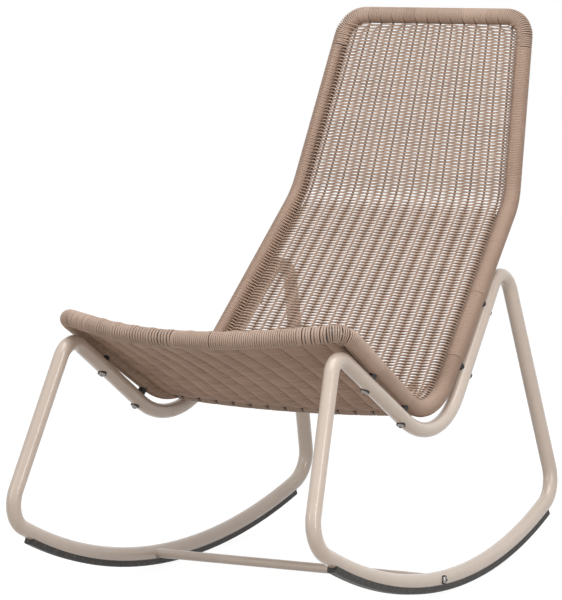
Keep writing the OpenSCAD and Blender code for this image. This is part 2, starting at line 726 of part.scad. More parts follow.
function bend_row(share) = bend_point(rail_front, rail_bend, rail_kink, bend_r, share);
seat_side = concat(
    [for (s = bend_steps) bend_row(s * crossbar_share)],
    [for (s = straight_steps)
        mix(bend_start(rail_front, rail_bend, rail_kink, bend_r), rail_front, s)]);
back_side = concat(
    [for (s = bend_steps) bend_row(1 - s * (1 - crossbar_share))],
    [for (s = straight_steps)
        mix(bend_start(rail_kink, rail_bend, rail_front, bend_r),
            bend_start(rail_bend, rail_kink, rail_top, kink_r), s)],
    [for (i = [0 : 4]) bend_point(rail_bend, rail_kink, rail_top, kink_r, i / 4)],
    [for (s = straight_steps)
        mix(bend_start(rail_top, rail_kink, rail_bend, kink_r), rail_top, s)]);

// Row of the sheet beside the crossbar, a step away toward p
function crossbar_row(p) =
    let (half = crossbar_end.x - weave_inset)
    [for (x = columns(half))
        [x, crossbar_end.y, crossbar_end.z] + [0, 0, -crossbar_dip] * (1 - pow(x / half, 2))
            + unit(p - crossbar_end) * crossbar_inset];

// Way into the seat from the front bar at x, square to the bar
function front_inward(x) =
    let (
        run = unit([1, 0, 0] + front_dir * front_slope(x)),
        way = unit([0, rail_bend.y - rail_front.y, rail_bend.z - rail_front.z])
    )
    unit(way - run * (way * run));

// The seat takes on the crossbar's sag at its back and the front bar's bow at its front
module seat_weave() {
    front_rows = [for (s = corner_steps * corner_r)
        let (
            half = front_half - weave_inset,
            cut = corner_cut(s, corner_r - wrap_od / 2),
            step = weave_inset + s
        )
        [for (c = columns(half, cut))
            let (x = c - front_inward(c).x * step)
            [x, rail_front.y, rail_front.z] + front_dir * front_depth(x) + front_inward(x) * step]];
    body = [for (i = [1 : len(seat_side) - 1])
        let (
            p = seat_side[i],
            half = p.x - weave_inset,
            t = (p.y - crossbar_end.y) / (rail_front.y - crossbar_end.y)
        )
        [for (x = columns(half))
            [x, p.y, p.z] + [0, 0, -crossbar_dip] * (1 - pow(x / half, 2)) * (1 - t)
                + front_dir * front_depth(x) * t * t]];
    color(weave_color)
        sheet(concat([crossbar_row(seat_side[0])], body, front_rows), weave_half_t);
}

module back_weave() {
    body = [for (i = [1 : len(back_side) - 1])
        let (
            p = back_side[i],
            half = p.x - weave_inset,
            t = (p.y - crossbar_end.y) / (rail_top.y - crossbar_end.y)
        )
        [for (x = columns(half))
            [x, p.y, p.z] + [0, 0, -crossbar_dip] * (1 - pow(x / half, 2)) * (1 - t) * (1 - t)]];
    top_rows = [for (s = corner_steps * top_r)
        let (p = rail_top - upper_rail * (weave_inset + s))
        [for (x = columns(p.x - weave_inset, corner_cut(s, top_r - wrap_od / 2))) [x, p.y, p.z]]];
    color(weave_color)
        sheet(concat([crossbar_row(back_side[0])], body, top_rows), weave_half_t);
}

// Glide strip: hugs the rocker tube from below, with rounded lower edges
glide_outline = concat(
    [[rocker_r, glide_w / 2], [rocker_r, -glide_w / 2]],
    [for (side = [-1, 1], t = quarter_steps)
        let (turn = side < 0 ? t : 90 - t)
        [rocker_low - glide_round * (1 - sin(turn)), side * (glide_flat + glide_round * cos(turn))]]);

module glide() {
    color(black_color) difference() {
        multmatrix(axes_at(on_loop(rocker_centre), loop_back, loop_up, loop_out))
            rotate([0, 0, -glide_ahead - 90])
                rotate_extrude(angle = glide_ahead + glide_behind,
                    $fn = ceil(180 / acos(1 - arc_error / rocker_r)))
                    polygon(glide_outline);
        plane_arc(rocker_centre, rocker_r, -glide_ahead - overrun, glide_behind + overrun, loop_od);
    }
}

module side_loop_right() { side_loop(); }
module side_loop_left() { mirror([1, 0, 0]) side_loop(); }
module band_front_right() { band_front(); }
module band_front_left() { mirror([1, 0, 0]) band_front(); }
module wrap_corner_right() { wrap_corner(); }
module wrap_corner_left() { mirror([1, 0, 0]) wrap_corner(); }
module wrap_seat_rail_right() { wrap_seat_rail(); }
module wrap_seat_rail_left() { mirror([1, 0, 0]) wrap_seat_rail(); }
module wrap_bend_right() { wrap_bend(); }
module wrap_bend_left() { mirror([1, 0, 0]) wrap_bend(); }
module wrap_back_low_right() { wrap_back_low(); }
module wrap_back_low_left() { mirror([1, 0, 0]) wrap_back_low(); }
module wrap_back_high_right() { wrap_back_high(); }
module wrap_back_high_left() { mirror([1, 0, 0]) wrap_back_high(); }
module glide_right() { glide(); }
module glide_left() { mirror([1, 0, 0]) glide(); }

at_rest() side_loop_right();
at_rest() side_loop_left();
at_rest() seat_frame();
at_rest() crossbar();
at_rest() stretcher();
at_rest() stretcher_plugs();
at_rest() stretcher_bolts();
at_rest() stretcher_washers();
at_rest() seat_bolts();
at_rest() seat_washers();
at_rest() seat_spacers();
at_rest() seat_inserts();
at_rest() back_bolts();
at_rest() back_washers();
at_rest() back_spacers();
at_rest() back_inserts();
at_rest() wrap_front();
at_rest() band_front_right();
at_rest() band_front_left();
at_rest() wrap_corner_right();
at_rest() wrap_corner_left();
at_rest() wrap_seat_rail_right();
at_rest() wrap_seat_rail_left();
at_rest() wrap_bend_right();
at_rest() wrap_bend_left();
at_rest() wrap_back_low_right();
at_rest() wrap_back_low_left();
at_rest() wrap_back_high_right();
at_rest() wrap_back_high_left();
at_rest() wrap_top();
at_rest() wrap_crossbar();
at_rest() seat_weave();
at_rest() back_weave();
at_rest() glide_right();
at_rest() glide_left();
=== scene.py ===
import random
from math import asin, atan, ceil, cos, exp, pi, radians, sin, sqrt, tan

import bpy
from mathutils import Matrix, Quaternion, Vector, noise


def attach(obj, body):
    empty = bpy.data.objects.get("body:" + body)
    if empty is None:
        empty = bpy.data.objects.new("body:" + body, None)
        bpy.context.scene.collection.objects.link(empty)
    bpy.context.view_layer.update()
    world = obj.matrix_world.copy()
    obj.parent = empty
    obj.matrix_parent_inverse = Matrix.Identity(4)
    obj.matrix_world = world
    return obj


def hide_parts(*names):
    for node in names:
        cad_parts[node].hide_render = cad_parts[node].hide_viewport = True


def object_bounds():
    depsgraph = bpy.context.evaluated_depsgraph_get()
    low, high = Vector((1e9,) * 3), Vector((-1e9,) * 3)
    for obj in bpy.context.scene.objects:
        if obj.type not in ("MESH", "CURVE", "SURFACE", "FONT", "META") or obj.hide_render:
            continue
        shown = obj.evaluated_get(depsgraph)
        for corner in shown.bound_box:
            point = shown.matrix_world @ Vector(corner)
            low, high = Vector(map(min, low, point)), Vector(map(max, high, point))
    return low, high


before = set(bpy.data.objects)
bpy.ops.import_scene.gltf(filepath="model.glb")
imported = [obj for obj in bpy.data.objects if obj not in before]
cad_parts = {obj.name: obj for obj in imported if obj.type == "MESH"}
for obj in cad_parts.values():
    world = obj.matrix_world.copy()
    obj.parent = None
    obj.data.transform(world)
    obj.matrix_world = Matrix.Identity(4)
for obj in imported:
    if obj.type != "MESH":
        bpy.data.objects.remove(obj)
cad_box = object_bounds()


# Side loops and stretcher
# Two closed loops of 25.4 mm steel tube, bent and welded, whose lower runs are the
# rockers, and the 16 mm bar between them. Powder coated in a warm light greige with a
# satin face and the fine orange peel that such a coat cures to.
class Value:
    """A socket of a finish: arithmetic on it adds the nodes that do it."""

    def __init__(self, finish, socket):
        self.finish, self.socket = finish, socket

    def maths(self, operation, a, b):
        return self.finish.node("ShaderNodeMath", {"operation": operation}, {0: a, 1: b})

    def __add__(self, other):
        return self.maths("ADD", self, other)

    def __radd__(self, other):
        return self.maths("ADD", other, self)

    def __mul__(self, other):
        return self.maths("MULTIPLY", self, other)

    def __rmul__(self, other):
        return self.maths("MULTIPLY", other, self)


class Finish:
    """A material or world in the making, with its one shader."""

    def __init__(self, name, kind=bpy.data.materials, shader="Principled BSDF"):
        self.material = kind.new(name)
        self.material.use_nodes = True
        self.tree = self.material.node_tree
        self.shader = self.tree.nodes[shader]

    def node(self, kind, settings, sockets, out=0):
        """Adds a node of that type, with its settings and the values or links of its sockets."""
        made = self.tree.nodes.new(kind)
        for key, value in settings.items():
            setattr(made, key, value)
        for key, value in sockets.items():
            self.feed(made.inputs[key], value)
        return Value(self, made.outputs[out])

    def feed(self, socket, value):
        if isinstance(value, Value):
            self.tree.links.new(value.socket, socket)
        else:
            socket.default_value = value

    def mix(self, a, b, share):
        return self.node("ShaderNodeMix", {"data_type": "RGBA"}, {0: share, 6: a, 7: b}, out=2)

    def grain(self, vector, scale, detail=2.0):
        return self.node("ShaderNodeTexNoise", {},
                         {"Vector": vector, "Scale": scale, "Detail": detail})

    def place(self):
        return self.node("ShaderNodeTexCoord", {}, {}, out="Object")

    def spread(self, value, low, high, to_low=0.0, to_high=1.0):
        return self.node("ShaderNodeMapRange", {},
                         {0: value, 1: low, 2: high, 3: to_low, 4: to_high})

    def relief(self, height, strength, depth):
        return self.node("ShaderNodeBump", {},
                         {"Height": height, "Strength": strength, "Distance": depth})

    def surface(self, **sockets):
        for key, value in sockets.items():
            self.feed(self.shader.inputs[key.replace("_", " ")], value)
        return self.material


def tint(red, green, blue):
    """A colour given as it looks on a screen, 0 to 255."""
    return tuple((c / 255 / 12.92 if c <= 10 else ((c / 255 + 0.055) / 1.055) ** 2.4)
                 for c in (red, green, blue)) + (1.0,)


def dress(material, *nodes):
    """Gives the material to those nodes of the frame."""
    for name in nodes:
        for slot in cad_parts[name].material_slots:
            slot.material = material


def powder_coat(name, colour, shade):
    coat = Finish(name)
    place = coat.place()
    drift = coat.spread(coat.grain(place, 5.0, 3.0), 0.35, 0.65)
    handled = coat.spread(coat.grain(place, 55.0, 4.0), 0.45, 0.75)
    peel = coat.grain(place, 1100.0, 1.0) + 0.5 * coat.grain(place, 420.0, 1.0)
    return coat.surface(
        Base_Color=coat.mix(colour, shade, drift * 0.55 + handled * 0.25),
        Roughness=coat.spread(handled, 0.0, 1.0, 0.30, 0.42),
        Coat_Weight=0.6,
        Coat_Roughness=0.12,
        Normal=coat.relief(peel, 0.12, 0.0002))


loop_coat = powder_coat("loop_powder_coat", tint(216, 200, 186), tint(207, 190, 175))
dress(loop_coat, "side_loop_right", "side_loop_left", "stretcher")


# Seat frame and crossbar
# The bare 22 mm tube under the windings and the 19 mm bar welded between its bends.
# They are coloured dark as painted shade, so that the gaps between the strands look shaded.
frame_shade_coat = powder_coat("frame_painted_shade", tint(74, 53, 42), tint(58, 41, 33))
dress(frame_shade_coat, "seat_frame", "crossbar")


# Bolts, inserts and plugs
# M6 bolts of polished stainless steel with domed heads and hex sockets, and the steel
# inserts and plugs that they run into. Fine marks of the polishing dull them a little, and
# their colour is darker than polished steel's, as painted shade for the dark surroundings they
# reflect.
steel = Finish("polished_steel_painted_shade")
marks = steel.grain(steel.place(), 2600.0, 3.0)
steel.surface(
    Base_Color=steel.mix(tint(158, 154, 150), tint(122, 118, 115), marks),
    Metallic=1.0,
    Roughness=steel.spread(marks, 0.3, 0.7, 0.16, 0.32),
    Normal=steel.relief(marks, 0.08, 0.00005))
dress(steel.material, "seat_bolts", "back_bolts", "stretcher_bolts", "seat_inserts",
      "back_inserts", "stretcher_plugs")


# Washers, spacers and glides
# Moulded black nylon: saddle washers under the bolt heads, the spacers that hold the
# seat clear of the loops, and the strips that the rockers roll on, which are scuffed.
def black_nylon(name, colour, worn, wear):
    nylon = Finish(name)
    place = nylon.place()
    pores = nylon.grain(place, 1500.0, 2.0)
    scuffs = nylon.spread(nylon.grain(place, 130.0, 5.0), 0.5, 0.8)
    return nylon.surface(
        Base_Color=nylon.mix(colour, worn, scuffs * wear),
        Roughness=nylon.spread(pores, 0.3, 0.7, 0.45, 0.62),
        Normal=nylon.relief(pores, 0.2, 0.0002))


dress(black_nylon("washer_nylon", tint(26, 24, 23), tint(48, 45, 43), 0.4),
      "seat_washers", "back_washers", "stretcher_washers", "seat_spacers", "back_spacers")
dress(black_nylon("glide_nylon", tint(38, 34, 31), tint(92, 85, 78), 0.7),
      "glide_right", "glide_left")


# Wound rails
# Round strand of extruded polyethylene, taupe right through, wound tightly round the
# side rails. Every weft of seat and back is one of these turns, so they share a pitch.
# The turns break at each bolt, where a seam rings the rail.
class Bar:
    """Centre line of a bent bar through corner points, rounded at each inner one."""

    def __init__(self, corners, radii, outward):
        self.spans, self.bends, self.length = [], [], 0.0
        here, way = corners[0], (corners[1] - corners[0]).normalized()
        outward = (outward - way * outward.dot(way)).normalized()
        for corner, after, radius in zip(corners[1:], corners[2:], radii):
            onward = (after - corner).normalized()
            turn, axis = way.angle(onward), way.cross(onward).normalized()
            trim = radius * tan(turn / 2)
            self.add(here, way, outward, (corner - here).length - trim)
            self.bends.append((self.length, self.length + radius * turn))
            self.add(corner - way * trim, way, outward, radius * turn, axis, radius)
            here, way, outward = corner + onward * trim, onward, Quaternion(axis, turn) @ outward
        self.add(here, way, outward, (corners[-1] - here).length)

    def add(self, here, way, outward, length, axis=None, radius=0.0):
        self.spans.append((here, way, outward, length, axis, radius))
        self.length += length

    def at(self, reach):
        """Point, way and outward way at that distance along the bar."""
        for here, way, outward, length, axis, radius in self.spans:
            if reach <= length:
                break
            reach -= length
        else:
            reach += length
        if axis is None:
            return here + way * reach, way, outward
        turned = Quaternion(axis, reach / radius)
        centre = here + axis.cross(way) * radius
        return centre + turned @ (here - centre), turned @ way, turned @ outward


def bend_reach(before, corner, after, radius):
    """How far from its corner point a bend of that radius starts."""
    return radius * tan((corner - before).angle(after - corner) / 2)


def flip(point):
    return Vector((-point.x, point.y, point.z))


def eased(share):
    share = min(1.0, max(0.0, share))
    return share * share * (3 - 2 * share)


# Sizes of the frame as it is built, with the rockers' axis at height 0. The rails' corner
# points are given behind, above and outside of the side loop's lowest point.
strand_d, wound_d, pitch, seam_gap = 0.0036, 0.0222, 0.00295, 0.0004
wound_r, wrap_r = (wound_d + strand_d) / 2, wound_d / 2 + strand_d
lean_out, toe_in, rocker_r, front_half = radians(5.6), radians(2.9), 0.9255, 0.277
corner_r, bend_r, kink_r, top_r = 0.030, 0.118, 0.130, 0.042
front_straight, front_bow, front_dip = 0.090, 0.060, 0.020
sideways = Vector((1, 0, 0))
loop_out = Vector((1, tan(toe_in), tan(lean_out))).normalized()
loop_back = Vector((-tan(toe_in), 1, 0)).normalized()
loop_up = loop_out.cross(loop_back)
rail_corners = [loop_back * behind + loop_up * (above - rocker_r) + loop_out * aside
                for behind, above, aside in ((-0.294, 0.4295, 0.019), (0.009, 0.251, -0.0095),
                                             (0.333, 0.605, 0.0085), (0.4435, 0.9205, 0.009))]
to_side = sideways * (front_half - rail_corners[0].x)
rail_front, rail_bend, rail_kink, rail_top = [corner + to_side for corner in rail_corners]

front_sag = sqrt(front_bow ** 2 + front_dip ** 2)
front_turn = 2 * atan(front_sag / (front_half + front_straight))
front_arc_half = front_half - front_straight * cos(front_turn)
front_arc_r = front_arc_half / sin(front_turn)
front_dir = Vector((0, -front_bow, -front_dip)) / front_sag
front_tip = Vector((0, rail_front.y, rail_front.z)) + front_dir * (front_half * tan(front_turn))

frame_line = Bar([flip(rail_front), front_tip, rail_front, rail_bend, rail_kink, rail_top,
                  flip(rail_top)],
                 [front_arc_r, corner_r, bend_r, kink_r, top_r], Vector((0, 0, 1)))
(bow_start, bow_end), (corner_start, corner_end), (bend_start, bend_end), \
    (_, kink_end), (top_start, _) = frame_line.bends

# At rest the chair leans back, and its top bar gives the box's rear and top.
rest_lean = radians(5.5)
leaning = Matrix.Rotation(-rest_lean, 4, "X")
to_rest = cad_box[1] - leaning @ rail_top - Vector((0, wrap_r, wrap_r))
at_rest = Matrix.Translation((0, to_rest.y, to_rest.z)) @ leaning

sides = 6
ring = [(cos(2 * pi * k / sides), sin(2 * pi * k / sides)) for k in range(sides)]


def strands(name, routes, thick, wide, finish, nodes, left=False):
    """A piece made of strands along routes of points, each with its outward way and width."""
    points, faces, lay, tone = [], [], [], []
    chance = random.Random(name)
    for route in routes:
        shade, length, last = chance.random(), chance.random() * 4, len(route) - 1
        for i, (point, outward, spread) in enumerate(route):
            way = (route[min(i + 1, last)][0] - route[max(i - 1, 0)][0]).normalized()
            side = way.cross(outward).normalized()
            up = side.cross(way)
            first = len(points)
            if i:
                length += (point - route[i - 1][0]).length
                for k in range(sides):
                    n = (k + 1) % sides
                    faces.append((first + k - sides, first + n - sides, first + n, first + k))
            if i in (0, last):
                end = [first + k for k in range(sides)]
                faces.append(end if i else end[::-1])
            for c, s in ring:
                above, across = c * thick / 2, s * wide * spread / 2
                points.append(point + up * above + side * across)
                lay.extend((above, across, length))
                tone.append(shade)
    if left:
        points = [flip(point) for point in points]
        faces = [face[::-1] for face in faces]
    mesh = bpy.data.meshes.new(name)
    mesh.from_pydata(points, [], faces)
    mesh.shade_smooth()
    mesh.transform(at_rest)
    mesh.attributes.new("strand_lay", "FLOAT_VECTOR", "POINT").data.foreach_set("vector", lay)
    mesh.attributes.new("strand_tone", "FLOAT", "POINT").data.foreach_set("value", tone)
    mesh.materials.append(finish)
    piece = bpy.data.objects.new(name, mesh)
    bpy.context.collection.objects.link(piece)
    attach(piece, "root")
    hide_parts(*nodes)


def strand_finish(name, colour, shade):
    strand = Finish(name)
    lay = strand.node("ShaderNodeAttribute", {"attribute_name": "strand_lay"}, {}, out="Vector")
    tone = strand.node("ShaderNodeAttribute", {"attribute_name": "strand_tone"}, {}, out="Fac")
    drawn = strand.node("ShaderNodeVectorMath", {"operation": "MULTIPLY"},
                        {0: lay, 1: (1800.0, 1800.0, 25.0)})
    streaks = strand.grain(drawn, 1.0, 2.0)
    patches = strand.grain(strand.place(), 14.0, 3.0)
    share = strand.spread(tone * 0.45 + streaks * 0.35 + patches * 0.5, 0.25, 1.05)
    return strand.surface(
        Base_Color=strand.mix(colour, shade, share),
        Roughness=strand.spread(streaks, 0.3, 0.7, 0.40, 0.56),
        Normal=strand.relief(streaks, 0.25, 0.0001))


# Marks a turn, the waver of its lay, how far the turns beside a warp part, and how much
# they narrow on the rails' inner edge, where the wefts leave them.
turn_marks = 16
waver, waver_along, waver_round, waver_lane = 0.00012, 90, 0.35, 3.0
parting, parting_run = 0.0012, 0.004
pinch_share, pinch_start, pinch_run = 0.7, 0.55, 0.3


def winding(bar, start, end, step, radius, turn=0.5, odd=0.0, bump=None, pinch=None, part=None):
    """Route of a strand wound round the bar, in whole turns and the odd share of one: each
    point with its outward way and width. The strand narrows toward the pinch way. Toward
    the part way, the turns at both ends leave a gap."""
    turns = max(1, round(abs(end - start) / step - odd)) + odd
    count = round(turns * turn_marks)
    route = []
    for i in range(count + 1):
        reach = start + (end - start) * i / count
        point, way, outward = bar.at(reach)
        angle = 2 * pi * (i / turn_marks + turn)
        out = outward * cos(angle) + way.cross(outward) * sin(angle)
        lift = waver * noise.noise(Vector((reach * waver_along, angle * waver_round, waver_lane)))
        if bump:
            lift += bump(point)
        if part:
            parted = parting * max(0.0, out.dot(part)) ** 2
            point = point + way * parted * (exp(-((reach - start) / parting_run) ** 2)
                                            - exp(-((end - reach) / parting_run) ** 2))
        pinched = eased((out.dot(pinch) - pinch_start) / pinch_run) if pinch else 0.0
        route.append((point + out * (radius + lift), out, 1.0 - pinch_share * pinched))
    return route


# The turns on the bend and the back get a darker copy of the strand's colour, as painted shade.
rail_shaded_coat = strand_finish("rail_strand_painted_shade", tint(190, 163, 145), tint(160, 135, 118))
strand_coat = strand_finish("wound_strand", tint(199, 174, 157), tint(168, 144, 127))

band_straight, top_wrap_reach, overlap = 0.003, 0.058, 0.0001
band_start = corner_start - band_straight
rail_start = corner_end - bend_reach(front_tip, rail_front, rail_bend, corner_r)
top_seam = top_start + bend_reach(rail_kink, rail_top, flip(rail_top), top_r) - top_wrap_reach
seat_bolts = (rail_start + 0.127, bend_start - 0.0085)
back_bolts = (bend_end + 0.044, bend_end + 0.179)
rail_wraps = {
    "corner": (band_start + seam_gap, seat_bolts[0], strand_coat),
    "seat_rail": (*seat_bolts, strand_coat),
    "bend": (seat_bolts[1], back_bolts[0], rail_shaded_coat),
    "back_low": (*back_bolts, rail_shaded_coat),
    "back_high": (back_bolts[1], top_seam, rail_shaded_coat)}
rail_cracks = {"corner_right": (0.007, 0.019, 0.028)}
for wrap, (start, end, coat) in rail_wraps.items():
    for side in ("right", "left"):
        cracks = rail_cracks.get(f"{wrap}_{side}", ())
        stops = [start] + [start + crack for crack in cracks] + [end]
        routes = [winding(frame_line, a + seam_gap, b - seam_gap, pitch, wound_r, pinch=-sideways)
                  for a, b in zip(stops, stops[1:])]
        strands(f"wound_{wrap}_{side}", routes, strand_d, pitch + overlap, coat,
                [f"wrap_{wrap}_{side}"], left=side == "left")


# Front bar
# The same strand in slightly wider turns, wound over the warps where they loop round
# the bar, which lifts it in a low bump at each. At both ends ten turns stand open in
# groups of three, and the bar shows between them, coloured dark as painted shade.
warp_count, edge_gap = 14, 0.011


def warp_x(number, half):
    """Place across the chair of a warp, for half the open width between the rails."""
    return (2 * number / (warp_count - 1) - 1) * (half - edge_gap)


def warps_at(corner):
    """Places of the warps on a bar whose axis meets the right rail's at that point."""
    return [warp_x(n, corner.x - wrap_r) for n in range(warp_count)]


front_warps = warps_at(rail_front)
bump_height, bump_run = 0.0011, 0.0065


def warp_bump(point):
    return bump_height * max(exp(-((point.x - x) / bump_run) ** 2) for x in front_warps)


band_turns, band_pitch, band_group, band_sway = 10, 0.005, 3, 0.00055
band_marks, band_wide, wind_gap = 18, 0.0045, 0.0001


def band_reach(turn):
    """Place along the frame of that turn of the right band. They stand in groups of three."""
    return (band_start - strand_d / 2 - band_pitch * turn
            - band_sway * sin(2 * pi * (turn / band_group - 0.5)))


band_route = []
for i in range(band_turns * band_marks + 1):
    point, way, outward = frame_line.at(band_reach(i / band_marks))
    angle = 2 * pi * i / band_marks
    out = outward * cos(angle) + way.cross(outward) * sin(angle)
    band_route.append((point + out * (wound_r + wind_gap), out, 1.0))
for side in ("right", "left"):
    strands(f"wound_band_{side}", [band_route[::-1]], strand_d, band_wide, strand_coat,
            [f"band_front_{side}"], left=side == "left")

front_middle, crack_wide = (bow_start + bow_end) / 2, 0.0009
front_routes = []
for side, cracks, last, step, wide in (("right", (0.058,), -0.012, 0.0038, 0.0034),
                                       ("left", (0.100, 0.036), 0.008, 0.0056, 0.0050)):
    stops = [band_reach(band_turns)] + [front_middle + crack for crack in cracks]
    ends = [stop + crack_wide for stop in stops[1:]] + [front_middle + last]
    for start, end in zip(stops, ends):
        route = winding(frame_line, start, end, step, wound_r, turn=0.0,
                        odd=0.5 if end == ends[-1] else 0.0, bump=warp_bump)
        turned = flip if side == "left" else Vector
        front_routes.append([(turned(point), turned(out), wide / strand_d)
                             for point, out, _ in route])
strands("wound_front_bar", front_routes, strand_d, strand_d, strand_coat, ["wrap_front"])


# Top bar
# Strand wound across the bar and round its corners. Each warp of the back comes up to
# the bar's lower edge and is tucked in between two turns, which part there and leave a
# small notch, dark with the bar's painted shade.
top_line = Bar([rail_kink, rail_top, flip(rail_top), flip(rail_kink)], [top_r, top_r],
               Vector((0, -1, 0)))
top_step, top_wide = 0.0036, 0.0031
top_wrap_start = (rail_top - rail_kink).length - top_wrap_reach + seam_gap / 2
top_stops = ([top_wrap_start]
             + [top_line.length / 2 - x for x in reversed(warps_at(rail_top))]
             + [top_line.length - top_wrap_start])
strands("wound_top_bar",
        [winding(top_line, start, end, top_step, wound_r, part=(rail_kink - rail_top).normalized())
         for start, end in zip(top_stops, top_stops[1:])],
        strand_d, top_wide, strand_coat, ["wrap_top"])


# Crossbar
# The bar between the rails' bends, wound with the same strand. The warps pass over it
# on their way from the seat into the back, and the turns part at each.
crossbar_d, crossbar_dip, crossbar_bent, crossbar_share = 0.019, 0.009, 0.98, 0.4
sheet_start = bend_start + (bend_end - bend_start) * crossbar_share
crossbar_end = frame_line.at(sheet_start)[0]
crossbar_turn = atan(2 * crossbar_dip / crossbar_end.x)
crossbar_tip = Vector((0, crossbar_end.y, crossbar_end.z - 2 * crossbar_dip))
crossbar_line = Bar([crossbar_end, crossbar_tip, flip(crossbar_end)],
                    [crossbar_bent * crossbar_end.x / sin(crossbar_turn)], Vector((0, 0, 1)))
crossbar_r, crossbar_step = (crossbar_d + strand_d) / 2, 0.0034
notch, tuck = 0.0020, 0.0017
crossbar_stops = ([wrap_r + seam_gap]
                  + [crossbar_line.length / 2 - x + way * notch
                     for x in reversed(warps_at(crossbar_end)) for way in (-1, 1)]
                  + [crossbar_line.length - wrap_r - seam_gap])
strands("wound_crossbar",
        [winding(crossbar_line, start + tuck, end - tuck, crossbar_step, crossbar_r)
         for start, end in zip(crossbar_stops[::2], crossbar_stops[1::2])],
        strand_d, crossbar_step, strand_coat, ["wrap_crossbar"])


# Woven back
# Plain weave: 14 stiff warps fan down from the top bar to the crossbar, and the wefts run
# across them, over one and under the next, then round the rails. Up to the kink a flat
# dark cord runs along each edge, inside the rail: painted shade, a dark strip for the shadow in the
# gaps beside the rail.
back_weft_thick, back_weft_wide, back_weft_slim = 0.0026, 0.00245, 0.3
weft_lift, weft_swell, weft_marks = 0.0034, 1.26, 5
warp_thick, warp_wide, warp_tuck = 0.0042, 0.0036, 0.002
edge_thick, edge_wide, edge_inset, edge_swerve = 0.003, 0.0106, 0.0076, 0.022
rail_shares = (0.18, 0.36, 0.52, 0.66, 0.8, 0.92, 1.0)
row_spare, back_marks, back_sunk_marks = 0.001, 60, 4
wrap_inset = wrap_r + seam_gap
crossbar_clear = crossbar_d / 2 + strand_d + 0.002


def rail_at(reach):
    """Centre and way of the right rail, run on straight past the corner's and top's bends."""
    held = min(max(reach, corner_end), top_start)
    centre, way, _ = frame_line.at(held)
    return centre + way * (reach - held), way


def corner_cut(step, radius):
    """How far a rounded corner reaches into the sheet, at that distance from its end."""
    return radius - sqrt(radius ** 2 - (radius - step) ** 2) if step < radius else 0.0


def to_rail(x, lift, rail_x):
    """Marks of a weft from its last warp to the rail, which it meets above or below."""
    end_x, end_lift = (rail_x if x > 0 else -rail_x), (-wound_r if lift > 0 else wound_r)
    return [(x + (end_x - x) * share, lift + (end_lift - lift) * eased(share), 1.0)
            for share in rail_shares]


def weft(place, rail_x, over, slim):
    """Route of one weft, in a wave with flattened crests, which passes over the first warp
    where over is 1 and under it where -1, and is slimmer by that share beside the warps.
    place gives the sheet's middle and its front way at x."""
    across = []
    for n in range((warp_count - 1) * weft_marks + 1):
        wave = over * cos(pi * n / weft_marks)
        across.append((warp_x(n / weft_marks, rail_x - wrap_r),
                       weft_lift * (1.5 - wave * wave / 2) * wave,
                       weft_swell - 4 * slim * wave * wave * (1 - wave * wave)))
    (first_x, first_lift, _), (last_x, last_lift, _) = across[0], across[-1]
    marks = to_rail(first_x, first_lift, rail_x)[::-1] + across + to_rail(last_x, last_lift, rail_x)
    route = []
    for x, lift, spread in marks:
        point, front = place(x)
        route.append((point + front * lift, front, spread))
    return route


def back_point(centre, x, rail_x):
    """Point of the back, whose middle hangs below the rails, as the crossbar does at its foot."""
    risen = (centre.y - crossbar_end.y) / (rail_top.y - crossbar_end.y)
    sag = crossbar_dip * (1 - risen) ** 2 * max(0.0, 1 - (x / rail_x) ** 2)
    return Vector((x, centre.y, centre.z - sag))


def back_weft(reach, over):
    """Route of the back's weft at that place along the frame."""
    centre, way = rail_at(reach)
    front = sideways.cross(way).normalized()
    rail_x = centre.x - corner_cut(sheet_top - reach, top_r - wrap_r)
    return weft(lambda x: (back_point(centre, x, rail_x), front), rail_x, over, back_weft_slim)


def back_warp(place, last):
    """Route of a warp of the back up to that place along the frame. place gives its x for
    half the open width and the share of its length."""
    route = []
    for i in range(back_marks + 1):
        share = i / back_marks
        centre, way = rail_at(sheet_start + (last - sheet_start) * share)
        front = sideways.cross(way).normalized()
        point = back_point(centre, place(centre.x - wrap_r, share), centre.x)
        sunk = crossbar_r * max(0.0, 1 - i / back_sunk_marks)
        route.append((point - front * sunk, front, 1.0))
    return route


def warp_place(number):
    """Place of a warp, as the warps' routes ask for it."""
    return lambda half, share: warp_x(number, half)


def edge_place(side, ends_in_rail):
    """Place of an edge cord, which may run into the rail over its last sixth."""
    swerve = edge_swerve if ends_in_rail else 0.0
    return lambda half, share: side * (half - edge_inset + swerve * eased(share * 6 - 5))


weave_coat = strand_finish("woven_strand", tint(202, 173, 153), tint(168, 141, 122))
# The warps are coloured darker than the wefts: painted shade, for where they show deep between
# them.
warp_shaded_coat = strand_finish("warp_strand_painted_shade", tint(156, 134, 118), tint(128, 109, 95))
# The edge cords are coloured near black: painted shade.
edge_shade_coat = strand_finish("edge_cord", tint(74, 58, 48), tint(58, 45, 37))

sheet_top = top_seam + top_wrap_reach - wrap_inset
back_foot = sheet_start + crossbar_clear
back_rows = ceil((sheet_top - row_spare - back_foot) / pitch)
back_wefts = [back_weft(back_foot + pitch * row, 1 if row % 2 else -1) for row in range(back_rows)]
for name, wefts in (("back_wefts_low", back_wefts[:back_rows // 2]),
                    ("back_wefts_high", back_wefts[back_rows // 2:])):
    strands(name, wefts, back_weft_thick, back_weft_wide, weave_coat, ["back_weave"])
strands("back_warps", [back_warp(warp_place(n), sheet_top + warp_tuck) for n in range(warp_count)],
        warp_thick, warp_wide, warp_shaded_coat, ["back_weave"])
strands("back_edge_cords", [back_warp(edge_place(side, True), kink_end) for side in (-1, 1)],
        edge_thick, edge_wide, edge_shade_coat, ["back_weave"])


